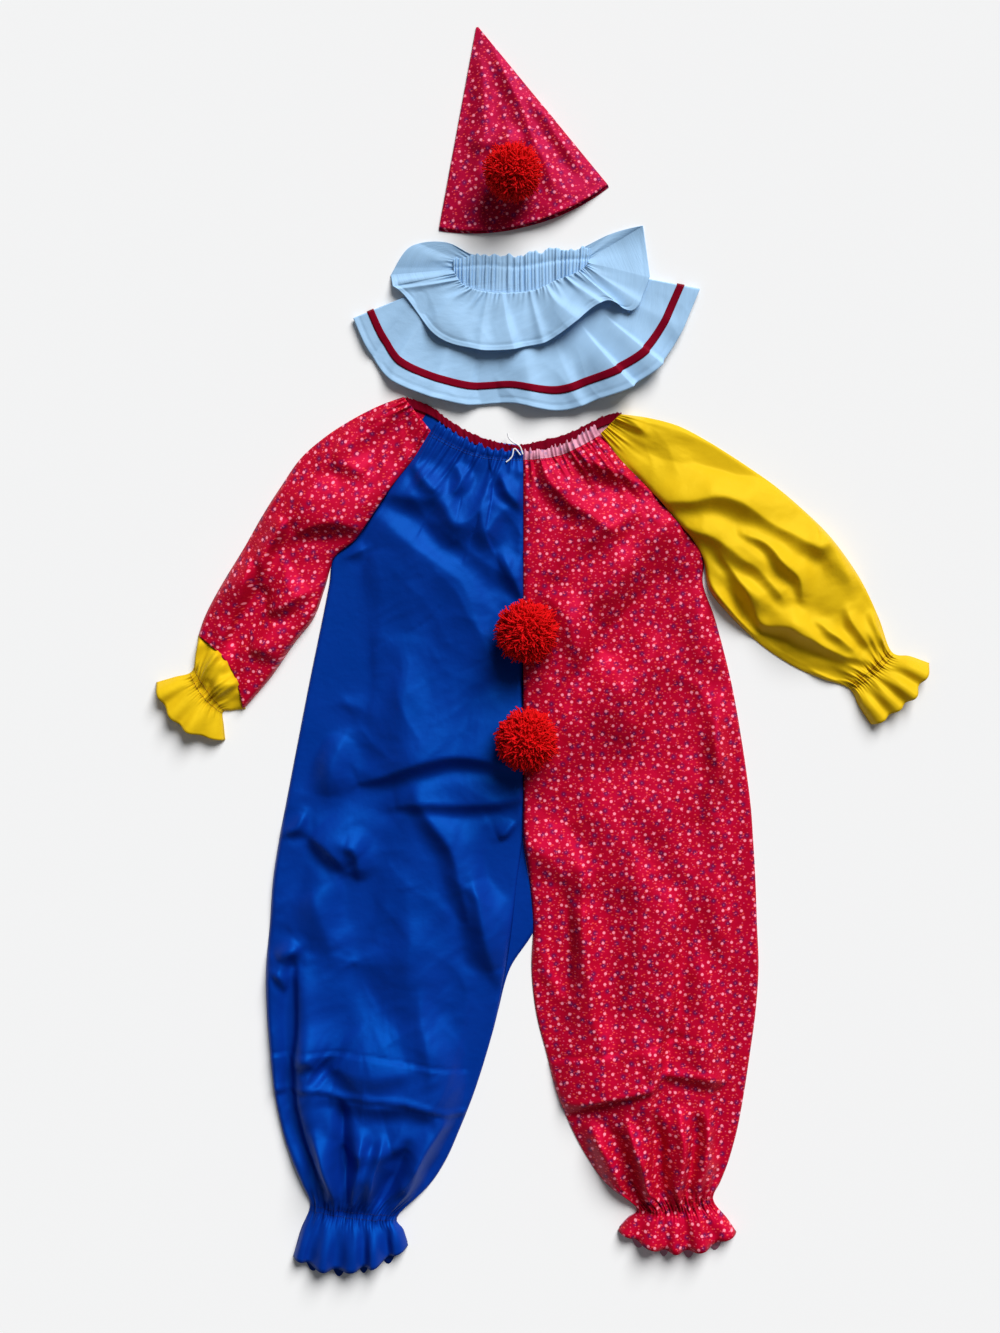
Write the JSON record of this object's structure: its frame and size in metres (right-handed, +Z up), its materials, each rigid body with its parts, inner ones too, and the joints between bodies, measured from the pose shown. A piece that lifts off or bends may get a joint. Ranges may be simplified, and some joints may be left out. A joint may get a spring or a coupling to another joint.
{
  "type": "clown costume",
  "caption": "Child's clown costume laid flat: blue and red-print jumpsuit with raglan sleeves and frilled cuffs, two-tier white ruff, cone hat, yarn pompons.",
  "frame": {"origin": "middle of the set's footprint on the surface that it lies on", "axes": "+Z up, away from the surface, towards the front of the costume; +Y from the ankles to the hat; +X to the wearer's left, the side of the yellow sleeve"},
  "size_m": [1.0045, 1.6128, 0.0794],
  "materials": {
    "blue_cotton": "plain-weave cotton, low sheen",
    "print_cotton": "plain-weave cotton with a small floral print",
    "yellow_cotton": "plain-weave cotton, slight sheen",
    "white_cotton": "thin cotton, cool white",
    "ribbon": "narrow woven ribbon",
    "casing_tape": "dark red bias tape",
    "red_yarn": "cut wool yarn",
    "tie_cord": "thin white cord"
  },
  "bodies": {
    "root": {"front_blue": "blue_cotton", "back_blue": "blue_cotton", "front_print": "print_cotton", "back_print": "print_cotton", "sleeve_print": "print_cotton", "cuff_yellow": "yellow_cotton", "sleeve_yellow": "yellow_cotton", "neck_casing": "casing_tape", "neck_tie_left": "tie_cord", "neck_tie_right": "tie_cord", "pompon_upper": "red_yarn", "pompon_lower": "red_yarn", "ruff_upper": "white_cotton", "ruff_lower": "white_cotton", "ruff_neckband": "white_cotton", "ruff_ribbon": "ribbon", "hat_cone": "print_cotton", "hat_pompon": "red_yarn"}
  },
  "joints": []
}
